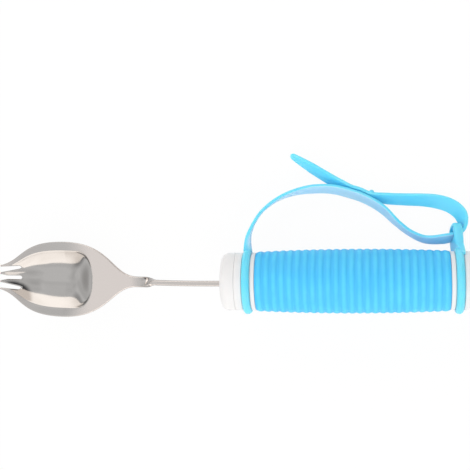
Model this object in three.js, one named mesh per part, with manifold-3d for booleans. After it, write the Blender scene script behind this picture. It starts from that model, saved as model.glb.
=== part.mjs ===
// Adaptive spork: a steel spork on a bendable strip shank, a built-up ribbed grip and a silicone hand strap.
// Millimetres. X runs along the handle towards its rear end, Y points to the strap's side and Z points up,
// out of the bowl. The origin is the centre of the flat rear end face.
import * as THREE from 'three';
import { mergeVertices } from 'three/addons/utils/BufferGeometryUtils.js';
import Module from 'manifold-3d';

const wasm = await Module();
wasm.setup();

// Handle
const HANDLE_LENGTH = 114;
const CORE_RADIUS = 12.6;
const CORE_WALL = 2.2;
const CAP_LENGTH = 6.7;
const CAP_FLAT_RADIUS = 7;
const CAP_DOME = 0.4;
const CAP_EDGE = 3.2;
const CAP_WALL = 2;
const FRONT_SPIGOT = 32;
const REAR_SPIGOT = 14;

// Ribbed grip sleeve
const SLEEVE_END_RADIUS = 13;
const SLEEVE_CROWN = 1;
const SLEEVE_SEAT_DEPTH = 1;
const RIB_COUNT = 25;
const RIB_HEIGHT = 0.4;

// Strap rings and the grooves that they turn in
const RING_SETBACK = 10.05;
const RING_WIDTH = 3.5;
const RING_RADIUS = 14.2;
const RING_ROUNDING = 1.5;
const GROOVE_DEPTH = 0.7;
const COLLAR_WIDTH = 2.15;

// Steel spork
const STRIP_THICKNESS = 2.4;
const STRIP_WIDTH = 4.7;
const STRIP_BEVEL = 0.35;
const SHANK_LENGTH = 29.3;
const SHANK_STUB = 1;
const SHANK_OFFSET = -0.85;
const TWIST_LENGTH = 10;
const TWIST_PINCH = 0.14;
const NECK_THICKNESS = 2;
const SHOULDER_LENGTH = 18.5;
const BOWL_LENGTH = 43;
const BOWL_WIDTH = 33.5;
const BOWL_DEPTH = 5.2;
const FLANGE_DROP = 0.5;
const TROUGH_SHARE = 0.79;
const BOWL_DEEPEST = 13.5;
const CLIMB_START = 0.35;
const SHEET = 1.3;
const TIP_WIDTH = 10.6;
const TINE_LENGTH = 9.2;
const TINE_POINT = 0.65;
const MIDDLE_SLOT = 1.6;
const SIDE_SLOT = 1.2;
const INNER_TINE = 3.4;
const HEAD_SET_DEG = 2.2;
const TANG_LENGTH = 28;
const PIN_RADIUS = 1;
const PIN_SETBACK = 20;

// Strap band, stud and keeper tab
const STRAP_WIDTH = 6.4;
const STRAP_THICKNESS = 1.5;
const STRAP_ROUNDING = 0.5;
const STRAP_TAPER = 11;
const STRAP_FLARE = 9.6;
const STUD_RADIUS = 1.1;
const STUD_HEIGHT = 2;
const STUD_SETBACK = 38.5;
const TAB_LENGTH = 12;
const TAB_THICKNESS = 4;
const TAB_WALL = 1.7;
const TAB_SLOT_START = 4.4;
const TAB_SLOT_LENGTH = 5.6;
const TAB_DROOP_DEG = 23;
const TAB_LEAN_DEG = 2;
const TAB_TURN_DEG = 8;

// Clearances
const SEAM = 0.3;
const SLIP = 0.3;
const STRAP_SLIP = 0.4;
const LAY_GAP = 0.7;
const BEND_GAP = 0.05;

// Facets of turned pieces
const TURNED_SIDES = 32;
const PEG_SIDES = 12;

const frontFace = -HANDLE_LENGTH;
const handleMiddle = frontFace / 2;
const frontRingX = frontFace + RING_SETBACK + RING_WIDTH / 2;
const rearRingX = -RING_SETBACK - RING_WIDTH / 2;
const sleeveStart = frontFace + RING_SETBACK + RING_WIDTH + COLLAR_WIDTH;
const sleeveLength = 2 * (handleMiddle - sleeveStart);
const seatRadius = CORE_RADIUS - SLEEVE_SEAT_DEPTH;
const boreRadius = seatRadius - CORE_WALL;
const spigotRadius = boreRadius - SLIP;
const grooveRadius = CORE_RADIUS - GROOVE_DEPTH;

const steel = { color: 0xc9c6c3, roughness: 0.22, metalness: 1 };
const whitePlastic = { color: 0xf1f1f0, roughness: 0.4, metalness: 0 };
const blueRubber = { color: 0x57cdfb, roughness: 0.6, metalness: 0 };
const clearBlueSilicone = { color: 0x79dcf8, roughness: 0.45, metalness: 0 };

// Shape helpers

function shellGeometry(positions, triangles) {
  const geometry = new THREE.BufferGeometry();
  geometry.setAttribute('position', new THREE.Float32BufferAttribute(positions, 3));
  geometry.setIndex(triangles);
  return geometry;
}

// Shared vertices only, without the collapsed triangles that a turned shape has on its axis.
function welded(geometry) {
  const bare = geometry.clone();
  bare.deleteAttribute('normal');
  bare.deleteAttribute('uv');
  const merged = mergeVertices(bare, 1e-4);
  const kept = [];
  for (let i = 0; i < merged.index.count; i += 3) {
    const [a, b, c] = [0, 1, 2].map((k) => merged.index.getX(i + k));
    if (a !== b && b !== c && c !== a) kept.push(a, b, c);
  }
  merged.setIndex(kept);
  return merged;
}

function solid(geometry) {
  const clean = welded(geometry);
  const vertProperties = Float32Array.from(clean.attributes.position.array);
  const triVerts = Uint32Array.from(clean.index.array);
  return new wasm.Manifold(new wasm.Mesh({ numProp: 3, vertProperties, triVerts }));
}

function geometryOf(body) {
  const mesh = body.getMesh();
  return shellGeometry(Array.from(mesh.vertProperties), Array.from(mesh.triVerts));
}

// A closed profile of [x, radius] points, outer side from low x to high x, turned round the X axis.
function turned(profile, sides = TURNED_SIDES) {
  const points = profile.map(([x, radius]) => new THREE.Vector2(radius, x));
  const geometry = new THREE.LatheGeometry(points, sides);
  geometry.rotateZ(-Math.PI / 2);
  geometry.rotateX(Math.PI / sides);
  return welded(geometry);
}

// A skin through section loops that run right-handed about the direction of travel, closed at both ends.
function loft(loops) {
  const count = loops[0].length;
  const positions = [];
  const triangles = [];
  loops.forEach((loop) => loop.forEach((point) => positions.push(point.x, point.y, point.z)));
  for (let i = 0; i < loops.length - 1; i += 1) {
    for (let j = 0; j < count; j += 1) {
      const a = i * count + j;
      const b = i * count + ((j + 1) % count);
      triangles.push(a, b, a + count, b, b + count, a + count);
    }
  }
  [0, loops.length - 1].forEach((row) => {
    const centre = new THREE.Vector3();
    loops[row].forEach((point) => centre.addScaledVector(point, 1 / count));
    const middle = positions.length / 3;
    positions.push(centre.x, centre.y, centre.z);
    for (let j = 0; j < count; j += 1) {
      const a = row * count + j;
      const b = row * count + ((j + 1) % count);
      if (row === 0) triangles.push(middle, b, a);
      else triangles.push(middle, a, b);
    }
  });
  return shellGeometry(positions, triangles);
}

// A rectangle with its corners cut, as [a, b] pairs that run from the a direction towards b.
function bevelledRectangle(width, height, bevel) {
  const a = width / 2;
  const b = height / 2;
  const quarter = [[a, b - bevel], [a - bevel, b]];
  const mirrored = quarter.map(([p, q]) => [-p, q]).reverse();
  const upper = [...quarter, ...mirrored];
  const lower = upper.map(([p, q]) => [-p, -q]);
  return [...upper, ...lower];
}

function box(length, width, height, x, y, z) {
  const geometry = new THREE.BoxGeometry(length, width, height);
  geometry.translate(x, y, z);
  return geometry;
}

function smooth(t) {
  const s = Math.min(1, Math.max(0, t));
  return s * s * (3 - 2 * s);
}

// Share of a curve where it passes a given x, on its way to higher x
function shareAtX(curve, x) {
  let low = 0;
  let high = 1;
  for (let i = 0; i < 40; i += 1) {
    const middle = (low + high) / 2;
    if (curve.getPoint(middle).x < x) low = middle;
    else high = middle;
  }
  return high;
}

function piece(name, geometry, look) {
  const mesh = new THREE.Mesh(geometry, new THREE.MeshStandardMaterial(look));
  mesh.name = name;
  return mesh;
}

// Handle core with a groove for each strap ring and a recessed seat for the sleeve

function coreGeometry() {
  const start = frontFace + CAP_LENGTH + SEAM / 2;
  const grooveHalf = RING_WIDTH / 2 + SLIP;
  const front = [
    [start, boreRadius],
    [start, CORE_RADIUS],
    [frontRingX - grooveHalf, CORE_RADIUS],
    [frontRingX - grooveHalf, grooveRadius],
    [frontRingX + grooveHalf, grooveRadius],
    [frontRingX + grooveHalf, CORE_RADIUS],
    [sleeveStart - SLIP, CORE_RADIUS],
    [sleeveStart - SLIP, seatRadius],
  ];
  const rear = front.map(([x, radius]) => [frontFace - x, radius]).reverse();
  return turned([...front, ...rear, front[0]]);
}

// Cap outline from its flat face to the seam, as [distance from the face, radius]
function capSkin() {
  const edgeRadius = CORE_RADIUS - CAP_EDGE;
  const skin = [[0, 0], [0, CAP_FLAT_RADIUS], [CAP_DOME, edgeRadius]];
  const tilt = Math.atan2(CAP_DOME, edgeRadius - CAP_FLAT_RADIUS);
  for (let i = 1; i <= 4; i += 1) {
    const turn = tilt + ((Math.PI / 2 - tilt) * i) / 4;
    const along = CAP_DOME + CAP_EDGE * (Math.cos(tilt) - Math.cos(turn));
    const out = edgeRadius + (CAP_EDGE * (Math.sin(turn) - Math.sin(tilt))) / (1 - Math.sin(tilt));
    skin.push([along, out]);
  }
  skin.push([CAP_LENGTH - SEAM / 2, CORE_RADIUS]);
  return skin;
}

function tangSlot() {
  const depth = TANG_LENGTH + SLIP + SHANK_STUB;
  const x = frontFace - SHANK_STUB + depth / 2;
  return box(depth, STRIP_THICKNESS + 2 * SLIP, STRIP_WIDTH + 2 * SLIP, x, SHANK_OFFSET, 0);
}

function pinBar(radius, length) {
  const bar = new THREE.CylinderGeometry(radius, radius, length, PEG_SIDES);
  bar.translate(frontFace + PIN_SETBACK, 0, 0);
  return bar;
}

function frontCapGeometry() {
  const skin = capSkin().map(([along, radius]) => [frontFace + along, radius]);
  const seam = skin[skin.length - 1][0];
  const end = frontFace + FRONT_SPIGOT;
  const blank = turned([...skin, [seam, spigotRadius], [end, spigotRadius], [end, 0]]);
  const hole = pinBar(PIN_RADIUS + SLIP, 2 * CORE_RADIUS);
  return geometryOf(solid(blank).subtract(solid(tangSlot())).subtract(solid(hole)));
}

function rearCapGeometry() {
  const skin = capSkin().map(([along, radius]) => [-along, radius]).reverse();
  const seam = skin[0][0];
  const end = -REAR_SPIGOT;
  const hollow = spigotRadius - CAP_WALL;
  const floor = -CAP_LENGTH / 2;
  const inside = [[floor, 0], [floor, hollow], [end, hollow], [end, spigotRadius], [seam, spigotRadius]];
  return turned([...inside, ...skin]);
}

// Barrel-shaped sleeve: each rib is a flat-topped ridge between two valleys
function sleeveGeometry() {
  const pitch = sleeveLength / RIB_COUNT;
  const barrel = (x) => {
    const reach = (x - handleMiddle) / (sleeveLength / 2);
    return SLEEVE_END_RADIUS + SLEEVE_CROWN * (1 - reach * reach);
  };
  const outer = [];
  for (let i = 0; i < RIB_COUNT; i += 1) {
    const start = sleeveStart + i * pitch;
    outer.push([start, barrel(start) - RIB_HEIGHT]);
    outer.push([start + pitch * 0.3, barrel(start + pitch * 0.3)]);
    outer.push([start + pitch * 0.7, barrel(start + pitch * 0.7)]);
  }
  const end = sleeveStart + sleeveLength;
  outer.push([end, SLEEVE_END_RADIUS - RIB_HEIGHT]);
  const bore = seatRadius + SLIP;
  return turned([...outer, [end, bore], [sleeveStart, bore], outer[0]]);
}

// Steel spork. Reach is the distance in front of the handle's front face.

const twistReach = SHANK_LENGTH;
const neckReach = twistReach + TWIST_LENGTH;
const bowlReach = neckReach + SHOULDER_LENGTH;
const deepReach = bowlReach + BOWL_DEEPEST;
const tipReach = bowlReach + BOWL_LENGTH;
const tineReach = tipReach - TINE_LENGTH;
const bendReach = (SHANK_LENGTH + SHANK_STUB) / 2;
const rimTop = NECK_THICKNESS / 2;

// Half outline of the head: an S-curve out of the neck, then a leaf front that runs in to the tine tips
const shoulderSide = new THREE.CubicBezierCurve(
  new THREE.Vector2(neckReach - 1.5, STRIP_WIDTH / 2),
  new THREE.Vector2(neckReach + 0.56 * SHOULDER_LENGTH, STRIP_WIDTH / 2),
  new THREE.Vector2(deepReach - 1.57 * BOWL_DEEPEST, BOWL_WIDTH / 2),
  new THREE.Vector2(deepReach, BOWL_WIDTH / 2),
);
const frontRun = tipReach - deepReach;
const frontSide = new THREE.CubicBezierCurve(
  new THREE.Vector2(deepReach, BOWL_WIDTH / 2),
  new THREE.Vector2(deepReach + 0.68 * frontRun, BOWL_WIDTH / 2),
  new THREE.Vector2(tipReach - 0.38 * frontRun, TIP_WIDTH / 2 + 0.10 * frontRun),
  new THREE.Vector2(tipReach, TIP_WIDTH / 2),
);

// Drop of the bowl below its rim: a sloping flange round a trough, which rises to the tips in front and to
// the shoulder behind, with steep walls at its back corners. A longer run to the back gives the lower face.
function bowlDrop(reach, side, halfWidth, backRun) {
  const back = Math.max(0, (deepReach - reach) / backRun);
  if (back >= 1) return 0;
  const climb = Math.max(0, ((reach - deepReach) / frontRun - CLIMB_START) / (1 - CLIMB_START));
  const half = TROUGH_SHARE * (back > 0 ? BOWL_WIDTH / 2 : halfWidth);
  const ledge = Math.max(SHEET, halfWidth - half);
  const flange = FLANGE_DROP * (1 - back) * Math.min(1, (halfWidth - Math.abs(side)) / ledge);
  const edge = half * Math.sqrt(1 - back ** 4) + backRun - BOWL_DEEPEST;
  const trough = Math.max(0, Math.min(1 - (side / half) ** 2, 3 * (1 - (side / edge) ** 2)));
  return (1 - back ** 3 - climb ** 1.6) * (flange + (BOWL_DEPTH - FLANGE_DROP) * trough);
}

const ACROSS = 24;

function headLoop(reach, halfWidth, thickness, twist) {
  const top = [];
  const bottom = [];
  for (let i = 0; i <= ACROSS; i += 1) {
    const side = halfWidth * Math.sin((Math.PI / 2) * ((2 * i) / ACROSS - 1));
    const level = twist === 0 ? rimTop : thickness / 2;
    top.push([side, level - bowlDrop(reach, side, halfWidth, BOWL_DEEPEST)]);
    bottom.unshift([side, level - thickness - bowlDrop(reach, side, halfWidth, BOWL_DEEPEST + SHEET / 2)]);
  }
  const turn = -twist;
  return [...bottom, ...top].map(([y, z]) => new THREE.Vector3(
    frontFace - reach,
    y * Math.cos(turn) - z * Math.sin(turn),
    y * Math.sin(turn) + z * Math.cos(turn),
  ));
}

function headBlank() {
  const loops = [];
  for (let i = 0; i <= 10; i += 1) {
    const share = i / 10;
    const reach = twistReach + BEND_GAP + share * (TWIST_LENGTH - 1.5 - BEND_GAP);
    const twist = (Math.PI / 2) * (1 - smooth(share));
    const thickness = THREE.MathUtils.lerp(STRIP_THICKNESS, NECK_THICKNESS, share);
    const pinch = 1 - TWIST_PINCH * Math.sin(Math.PI * share);
    loops.push(headLoop(reach, (STRIP_WIDTH / 2) * pinch, thickness, twist));
  }
  const wallReach = bowlReach - SHEET;
  const steps = Array.from({ length: 12 }, (_, i) => (i + 1) / 12);
  const flatReaches = steps.map((share) => THREE.MathUtils.lerp(neckReach - 1.5, wallReach, share));
  const wallReaches = steps.map((share) => THREE.MathUtils.lerp(wallReach, deepReach, share * share));
  [...flatReaches, ...wallReaches].forEach((reach) => {
    const share = shareAtX(shoulderSide, reach);
    const thickness = THREE.MathUtils.lerp(NECK_THICKNESS, SHEET, share);
    loops.push(headLoop(reach, shoulderSide.getPoint(share).y, thickness, 0));
  });
  for (let i = 1; i <= 14; i += 1) {
    const point = frontSide.getPoint(i / 14);
    loops.push(headLoop(point.x, point.y, SHEET, 0));
  }
  return loft(loops);
}

// A vertical cut through the sheet, from an outline of [reach, side] points
function slotCutter(outline) {
  const shape = new THREE.Shape(outline.map(([reach, side]) => new THREE.Vector2(frontFace - reach, side)));
  const height = 2 * BOWL_DEPTH + 2 * SHEET;
  const cutter = new THREE.ExtrudeGeometry(shape, { depth: height, bevelEnabled: false });
  cutter.translate(0, 0, -height / 2 - SHEET);
  return cutter;
}

function headGeometry() {
  const past = tipReach + 1;
  const half = MIDDLE_SLOT / 2;
  const sideIn = half + INNER_TINE;
  const sideOut = sideIn + SIDE_SLOT;
  const pointIn = half + 0.2 * INNER_TINE;
  const pointOut = pointIn + TINE_POINT;
  const tipOut = TIP_WIDTH / 2 - TINE_POINT;
  const flare = tipReach - TINE_LENGTH / 3;
  const middle = [
    [past, -pointIn], [tipReach, -pointIn], [flare, -half], [tineReach + half, -half],
    [tineReach, 0],
    [tineReach + half, half], [flare, half], [tipReach, pointIn], [past, pointIn],
  ];
  const right = [
    [past, pointOut], [tipReach, pointOut], [tineReach + SIDE_SLOT / 2, sideIn],
    [tineReach, (sideIn + sideOut) / 2],
    [tineReach + SIDE_SLOT / 2, sideOut], [tipReach, tipOut], [past, tipOut],
  ];
  const left = right.map(([reach, side]) => [reach, -side]).reverse();
  const cut = [middle, right, left].reduce(
    (body, outline) => body.subtract(solid(slotCutter(outline))),
    solid(headBlank()),
  );
  return geometryOf(cut);
}

// The bendable stretch of the strip, drawn with the set that it has in use: an arc about a vertical axis
const headSet = THREE.MathUtils.degToRad(HEAD_SET_DEG);

function bendGeometry() {
  const length = SHANK_LENGTH - SHANK_STUB;
  const radius = length / headSet;
  const section = bevelledRectangle(STRIP_THICKNESS, STRIP_WIDTH, STRIP_BEVEL);
  const loops = [];
  for (let i = 0; i <= 8; i += 1) {
    const turn = (headSet * i) / 8;
    const x = frontFace - SHANK_STUB - radius * Math.sin(turn);
    const y = SHANK_OFFSET + radius * (1 - Math.cos(turn));
    loops.push(section.map(([a, b]) => new THREE.Vector3(x - a * Math.sin(turn), y - a * Math.cos(turn), b)));
  }
  return loft(loops);
}

function tangGeometry() {
  const section = bevelledRectangle(STRIP_THICKNESS, STRIP_WIDTH, STRIP_BEVEL);
  const ends = [frontFace + TANG_LENGTH, frontFace - SHANK_STUB + BEND_GAP];
  const bar = loft(ends.map((x) => section.map(([a, b]) => new THREE.Vector3(x, SHANK_OFFSET - a, b))));
  const hole = pinBar(PIN_RADIUS + SLIP, 2 * STRIP_WIDTH);
  return geometryOf(solid(bar).subtract(solid(hole)));
}

// Strap rings

function ringGeometry(centre) {
  const half = RING_WIDTH / 2;
  const inner = grooveRadius + SLIP;
  const skin = [[centre - half, inner]];
  for (let i = 0; i <= 3; i += 1) {
    const turn = (Math.PI / 2) * (i / 3);
    skin.push([
      centre - half + RING_ROUNDING * (1 - Math.cos(turn)),
      RING_RADIUS - RING_ROUNDING * (1 - Math.sin(turn)),
    ]);
  }
  const mirrored = skin.map(([x, radius]) => [2 * centre - x, radius]).reverse();
  return turned([...skin, ...mirrored, skin[0]]);
}

// Keeper tab frame: X through its thickness, Y out from the ring, Z across the strap
function tabFrame() {
  const frame = new THREE.Matrix4().makeRotationX(-THREE.MathUtils.degToRad(TAB_DROOP_DEG));
  frame.multiply(new THREE.Matrix4().makeTranslation(rearRingX, RING_RADIUS, 0));
  frame.multiply(new THREE.Matrix4().makeRotationZ(THREE.MathUtils.degToRad(TAB_LEAN_DEG)));
  frame.multiply(new THREE.Matrix4().makeRotationY(THREE.MathUtils.degToRad(TAB_TURN_DEG)));
  return frame;
}

const slotWidth = STRAP_WIDTH + 2 * STRAP_SLIP;
const tabWidth = slotWidth + 2 * TAB_WALL;

function keeperGeometry() {
  const root = RING_RADIUS - grooveRadius - SLIP - RING_ROUNDING / 2;
  const corner = tabWidth / 3;
  const shape = new THREE.Shape();
  shape.moveTo(-root, -tabWidth / 2);
  shape.lineTo(TAB_LENGTH - corner, -tabWidth / 2);
  shape.absarc(TAB_LENGTH - corner, -tabWidth / 2 + corner, corner, -Math.PI / 2, 0, false);
  shape.absarc(TAB_LENGTH - corner, tabWidth / 2 - corner, corner, 0, Math.PI / 2, false);
  shape.lineTo(-root, tabWidth / 2);
  const depth = TAB_THICKNESS;
  const tab = new THREE.ExtrudeGeometry(shape, { depth, bevelEnabled: false, curveSegments: 4 });
  tab.translate(0, 0, -TAB_THICKNESS / 2);
  tab.applyMatrix4(new THREE.Matrix4().makeBasis(
    new THREE.Vector3(0, 1, 0),
    new THREE.Vector3(0, 0, 1),
    new THREE.Vector3(1, 0, 0),
  ));
  const slot = box(2 * TAB_THICKNESS, TAB_SLOT_LENGTH, slotWidth, 0, TAB_SLOT_START + TAB_SLOT_LENGTH / 2, 0);
  [tab, slot].forEach((geometry) => geometry.applyMatrix4(tabFrame()));
  return geometryOf(solid(ringGeometry(rearRingX)).add(solid(tab)).subtract(solid(slot)));
}

// Strap route: [x, y, z, lean in degrees]. The lean tips the strap's upper edge to the left of its travel.

function fromFrontRing([x, y, z, lean]) {
  return { point: new THREE.Vector3(frontRingX + x, RING_RADIUS + y, z), lean };
}

function fromRearRing([x, y, z, lean]) {
  return { point: new THREE.Vector3(rearRingX + x, RING_RADIUS + y, z), lean };
}

// A stop in the keeper's slot, by its place through the tab and its rise over the slot's start
function inSlot([x, rise, lean]) {
  return { point: new THREE.Vector3(x, TAB_SLOT_START + rise, 0).applyMatrix4(tabFrame()), lean };
}

const bandRoute = [
  ...[
    [0, -1.1, 0, 0],
    [0, 2.8, -0.4, 0],
    [0.5, 6.2, -1.1, 0],
    [2.6, 11.7, -2.9, -5],
    [6.2, 17, -5.2, -5],
    [12.2, 21.7, -7.3, 1],
    [19, 24.6, -8.5, 11],
    [28, 26.2, -9.4, 27],
    [37, 26, -9.8, 31],
    [44, 24.2, -9.9, 31],
  ].map(fromFrontRing),
  ...[
    [-39.6, 21.7, -9.9, 30],
    [-32, 17.1, -9.7, 28],
    [-25.3, 10.6, -9.2, 17],
    [-19.8, 6.3, -8.7, 16],
    [-13.4, 3.5, -8.1, 24],
  ].map(fromRearRing),
  ...[
    [-5.2, 0.7, 36],
    [-1.5, 1.7, 28],
    [2.1, 3.6, 6],
  ].map(inSlot),
];

const loopRoute = [
  [3.2, 9.3, -9.1, -10],
  [2.7, 11.9, -9.4, -40],
  [1.6, 14.6, -9.7, -60],
  [-0.8, 17, -9.9, -75],
  [-4.1, 18.8, -10.1, -75],
  [-8.7, 20.1, -10.4, -66],
  [-14.4, 20.8, -10.6, -53],
  [-21.4, 21.1, -10.8, -48],
  [-29.4, 21.6, -10.9, -43],
].map(fromRearRing);

const tailRoute = [
  [-50.1, 27.9, -10.9, -42],
  [-55.1, 30.8, -10.9, -40],
  [-60.2, 34, -10.9, -37],
  [-65.7, 37.5, -10.9, -33],
  [-72.1, 42, -10.9, -30],
].map(fromRearRing);

function routeCurve(route) {
  return new THREE.CatmullRomCurve3(route.map((stop) => stop.point), false, 'centripetal');
}

function leanAt(route, t) {
  const place = t * (route.length - 1);
  const low = Math.min(Math.floor(place), route.length - 2);
  return THREE.MathUtils.lerp(route[low].lean, route[low + 1].lean, place - low);
}

// Centre, travel, upper edge direction and outer face direction of the strap at one share of its route
function strapFrame(curve, route, t) {
  const centre = curve.getPoint(t);
  const travel = curve.getTangent(t);
  const left = new THREE.Vector3(-travel.y, travel.x, 0).normalize();
  const up = new THREE.Vector3().crossVectors(travel, left);
  const lean = THREE.MathUtils.degToRad(leanAt(route, t));
  const edge = up.clone().multiplyScalar(Math.cos(lean)).addScaledVector(left, Math.sin(lean));
  const outer = new THREE.Vector3().crossVectors(edge, travel);
  return { centre, travel, edge, outer };
}

const bandCurve = routeCurve(bandRoute);
const layStep = STRAP_THICKNESS + LAY_GAP;

// Where the tail lies on the band's outer face
function layOnBand(setback) {
  const { centre, outer } = strapFrame(bandCurve, bandRoute, shareAtX(bandCurve, rearRingX - setback));
  const lean = -leanAt(bandRoute, shareAtX(bandCurve, rearRingX - setback));
  return { point: centre.addScaledVector(outer, layStep), lean };
}

const layRoute = [STUD_SETBACK, STUD_SETBACK + 4, STUD_SETBACK + 8].map(layOnBand);
const strapRoute = [...bandRoute, ...loopRoute, ...layRoute, ...tailRoute];
const STRAP_STEPS = 110;

function bandGeometry() {
  const curve = routeCurve(strapRoute);
  const lengths = curve.getLengths(STRAP_STEPS * 4);
  const length = lengths[lengths.length - 1];
  const loops = [];
  for (let i = 0; i <= STRAP_STEPS; i += 1) {
    const share = i / STRAP_STEPS;
    const { centre, travel, edge } = strapFrame(curve, strapRoute, share);
    const rest = length - lengths[i * 4];
    const taper = Math.min(1, 0.45 + 0.55 * Math.sqrt(rest / STRAP_TAPER));
    const flare = 1 + 1.3 * Math.max(0, 1 - lengths[i * 4] / STRAP_FLARE) ** 1.2;
    const thickness = STRAP_THICKNESS * flare * Math.sqrt(taper);
    const section = bevelledRectangle(STRAP_WIDTH * taper, thickness, STRAP_ROUNDING);
    const across = new THREE.Vector3().crossVectors(travel, edge);
    loops.push(section.map(([a, b]) => centre.clone().addScaledVector(edge, a).addScaledVector(across, b)));
  }
  return loft(loops);
}

// A round peg along the band's outer normal, between two heights over the band's middle
function studPeg(radius, from, to) {
  const { centre, outer } = strapFrame(bandCurve, bandRoute, shareAtX(bandCurve, rearRingX - STUD_SETBACK));
  const peg = new THREE.CylinderGeometry(radius, radius, to - from, PEG_SIDES);
  peg.translate(0, (from + to) / 2, 0);
  peg.applyQuaternion(new THREE.Quaternion().setFromUnitVectors(new THREE.Vector3(0, 1, 0), outer));
  peg.translate(centre.x, centre.y, centre.z);
  return peg;
}

function strapGeometry() {
  const tailFace = layStep + STRAP_THICKNESS / 2;
  const peg = studPeg(STUD_RADIUS, 0, tailFace + STUD_HEIGHT);
  const hole = studPeg(STUD_RADIUS + SLIP, layStep / 2, tailFace + STUD_HEIGHT);
  const band = solid(bandGeometry()).subtract(solid(hole));
  return geometryOf(band.add(solid(ringGeometry(frontRingX))).add(solid(peg)));
}

// Assembly

const handle = new THREE.Group();
handle.add(piece('core_tube', coreGeometry(), whitePlastic));
handle.add(piece('front_cap', frontCapGeometry(), whitePlastic));
handle.add(piece('rear_cap', rearCapGeometry(), whitePlastic));
handle.add(piece('grip_sleeve', sleeveGeometry(), blueRubber));
handle.add(piece('shank_tang', tangGeometry(), steel));
handle.add(piece('tang_pin', pinBar(PIN_RADIUS, 2 * spigotRadius - 2 * SLIP), steel));
handle.add(piece('shank_bend', bendGeometry(), steel));

// The head turns about the middle of the bendable stretch, so its set is a turn of its group there.
const bendX = frontFace - bendReach;
const headShape = headGeometry();
headShape.translate(-bendX, 0, 0);
const head = new THREE.Group();
head.position.set(bendX, SHANK_OFFSET, 0);
head.rotation.z = -headSet;
head.add(piece('spork_head', headShape, steel));

const strap = new THREE.Group();
strap.add(piece('hand_strap', strapGeometry(), clearBlueSilicone));
strap.add(piece('keeper_ring', keeperGeometry(), clearBlueSilicone));

const spork = new THREE.Group();
spork.add(handle, head, strap);

export default spork;
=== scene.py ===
# Adaptive spork: a steel spork on a bendable shank, a ribbed rubber grip and a silicone hand strap.
# Metres. X runs along the handle towards its rear end, Y points to the strap's side and Z points up,
# out of the bowl. The origin is the centre of the flat rear end face.
from bisect import bisect_left
from math import cos, pi, radians, sin, sqrt, tan

import bmesh
import bpy
from bpy.props import FloatProperty, FloatVectorProperty, IntProperty, PointerProperty
from mathutils import Matrix, Vector
from mathutils.geometry import interpolate_bezier
from mathutils.kdtree import KDTree


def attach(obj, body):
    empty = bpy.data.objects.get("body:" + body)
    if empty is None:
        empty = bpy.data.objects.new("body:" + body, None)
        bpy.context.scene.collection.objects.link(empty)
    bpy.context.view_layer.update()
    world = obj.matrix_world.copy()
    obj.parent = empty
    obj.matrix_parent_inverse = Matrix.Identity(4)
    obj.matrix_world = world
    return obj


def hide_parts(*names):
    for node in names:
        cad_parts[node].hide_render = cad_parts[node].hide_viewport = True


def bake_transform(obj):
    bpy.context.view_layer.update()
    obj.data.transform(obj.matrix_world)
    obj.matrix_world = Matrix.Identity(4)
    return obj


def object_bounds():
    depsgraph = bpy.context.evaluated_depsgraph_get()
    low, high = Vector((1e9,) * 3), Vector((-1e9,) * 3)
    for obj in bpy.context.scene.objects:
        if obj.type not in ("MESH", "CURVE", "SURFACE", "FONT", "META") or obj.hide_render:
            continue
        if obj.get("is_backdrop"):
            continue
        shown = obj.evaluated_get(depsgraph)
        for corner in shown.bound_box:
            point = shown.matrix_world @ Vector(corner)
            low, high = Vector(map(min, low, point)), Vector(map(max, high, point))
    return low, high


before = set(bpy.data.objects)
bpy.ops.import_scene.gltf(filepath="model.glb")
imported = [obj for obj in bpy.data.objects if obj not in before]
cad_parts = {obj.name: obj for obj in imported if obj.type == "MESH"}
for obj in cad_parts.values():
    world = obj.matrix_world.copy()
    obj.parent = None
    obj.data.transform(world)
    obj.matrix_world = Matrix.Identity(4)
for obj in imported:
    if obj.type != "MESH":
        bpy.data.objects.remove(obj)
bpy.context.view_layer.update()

bl_info = {
    "name": "Adaptive spork",
    "version": (1, 0, 0),
    "blender": (4, 5, 0),
    "location": "3D View > Sidebar > Spork",
    "description": "Builds the steel, the grip, the strap and the studio of an adaptive spork",
    "category": "Add Mesh",
}

MM = 0.001

# Clearances between pieces
SEAM = 0.06 * MM
SLIP = 0.15 * MM
STRAP_SLIP = 0.4 * MM
LAY_GAP = 0.7 * MM


def linear(code):
    """An sRGB hex colour as linear light."""
    channels = [int(code[i:i + 2], 16) / 255 for i in (1, 3, 5)]
    return tuple(c / 12.92 if c <= 0.04045 else ((c + 0.055) / 1.055) ** 2.4 for c in channels)


def length(name, description, millimetres):
    """A length property with its default in millimetres."""
    return FloatProperty(
        name=name, description=description, default=millimetres * MM, unit="LENGTH", precision=5, min=0.0
    )


def angle(name, description, degrees):
    """An angle property with its default in degrees."""
    return FloatProperty(name=name, description=description, default=radians(degrees), subtype="ANGLE")


def colour(name, description, code):
    """A colour property with its default as a hex value."""
    return FloatVectorProperty(
        name=name, description=description, default=linear(code), subtype="COLOR", size=3, min=0.0, max=1.0
    )


# Sizes and colours that a user would change


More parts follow.
